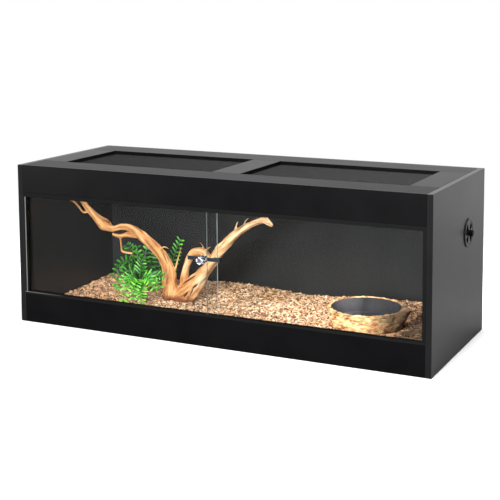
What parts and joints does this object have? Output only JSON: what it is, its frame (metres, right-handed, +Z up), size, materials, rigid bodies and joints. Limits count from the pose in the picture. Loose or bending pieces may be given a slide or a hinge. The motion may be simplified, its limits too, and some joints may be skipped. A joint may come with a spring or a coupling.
{
  "type": "reptile terrarium",
  "caption": "Long black flat-pack reptile terrarium with screened top, sliding glass doors, ratchet lock, side vents, wood-chip bed, driftwood, ferns and a water bowl.",
  "frame": {"origin": "middle of the underside", "axes": "+Z up, the glass doors face -Y, +X to the right seen from the front"},
  "size_m": [1.226, 0.4783, 0.445],
  "materials": {
    "black_laminate": "satin black laminated chipboard",
    "coated_mesh": "fine woven mesh, matt black coating",
    "black_plastic": "black moulded plastic",
    "zinc_steel": "zinc-plated steel",
    "beech": "fluted beech",
    "float_glass": "clear float glass with ground greenish edges",
    "dark_steel": "dark plated spring steel",
    "chrome_plate": "polished chrome plate",
    "wood_chips": "loose beech chips",
    "bare_driftwood": "sand-blasted driftwood",
    "fern_leaf": "bright green fern fronds",
    "cast_stone": "layered sandstone look outside, glossy slate inside"
  },
  "bodies": {
    "cabinet": {"left_side_panel": "black_laminate", "right_side_panel": "black_laminate", "base_panel": "black_laminate", "back_panel": "black_laminate", "kick_board": "black_laminate", "front_fascia": "black_laminate", "top_front_rail": "black_laminate", "top_rear_rail": "black_laminate", "top_left_rail": "black_laminate", "top_centre_rail": "black_laminate", "top_right_rail": "black_laminate", "left_screen": "coated_mesh", "right_screen": "coated_mesh", "left_screen_trim": "black_plastic", "right_screen_trim": "black_plastic", "screen_screws": "zinc_steel", "back_screws": "zinc_steel", "cam_fittings": "zinc_steel", "cam_bolts": "zinc_steel", "dowels": "beech", "bottom_track": "black_plastic", "top_track": "black_plastic", "left_channel": "black_plastic", "right_channel": "black_plastic", "left_vent_body": "black_plastic", "left_vent_ring": "black_plastic", "right_vent_body": "black_plastic", "right_vent_ring": "black_plastic", "substrate": "wood_chips", "driftwood": "bare_driftwood", "large_fern": "fern_leaf", "rear_fern": "fern_leaf"},
    "left_door": {"left_glass_door": "float_glass", "lock_bar": "dark_steel"},
    "right_door": {"right_glass_door": "float_glass"},
    "lock": {"lock_barrel": "chrome_plate"},
    "lock_plug": {"lock_plug": "chrome_plate"},
    "lock_pawl": {"lock_pawl": "zinc_steel"},
    "left_vent": {"left_vent_shutter": "black_plastic", "left_vent_knob": "black_plastic"},
    "right_vent": {"right_vent_shutter": "black_plastic", "right_vent_knob": "black_plastic"},
    "bowl": {"water_bowl": "cast_stone"}
  },
  "joints": [
    {"name": "right_door_slide", "type": "slide", "parent": "cabinet", "child": "right_door", "axis": [-1, 0, 0], "range_m": [0, 0.515]},
    {"name": "left_door_slide", "type": "slide", "parent": "cabinet", "child": "left_door", "axis": [1, 0, 0], "range_m": [0, 0.54]},
    {"name": "lock_slide", "type": "slide", "parent": "right_door", "child": "lock", "axis": [-1, 0, 0], "range_m": [0, 0.03]},
    {"name": "lock_turn", "type": "hinge", "parent": "lock", "child": "lock_plug", "pos_m": [-0.0158, -0.241, 0.231], "axis": [0, 1, 0], "range_deg": [0, 90]},
    {"name": "lock_pawl_slide", "type": "slide", "parent": "lock", "child": "lock_pawl", "axis": [0, 1, 0], "range_m": [0, 0.0009]},
    {"name": "left_vent_turn", "type": "hinge", "parent": "cabinet", "child": "left_vent", "pos_m": [-0.6, 0.076, 0.297], "axis": [-1, 0, 0], "range_deg": [0, 45]},
    {"name": "right_vent_turn", "type": "hinge", "parent": "cabinet", "child": "right_vent", "pos_m": [0.6, 0.076, 0.297], "axis": [1, 0, 0], "range_deg": [0, 45]},
    {"name": "bowl_lift", "type": "slide", "parent": "cabinet", "child": "bowl", "axis": [0, 0, 1], "range_m": [0, 0.25]}
  ],
  "couplings": [
    {"joint": "lock_pawl_slide", "follows": "lock_turn", "m_per_rad": 0.00057}
  ]
}
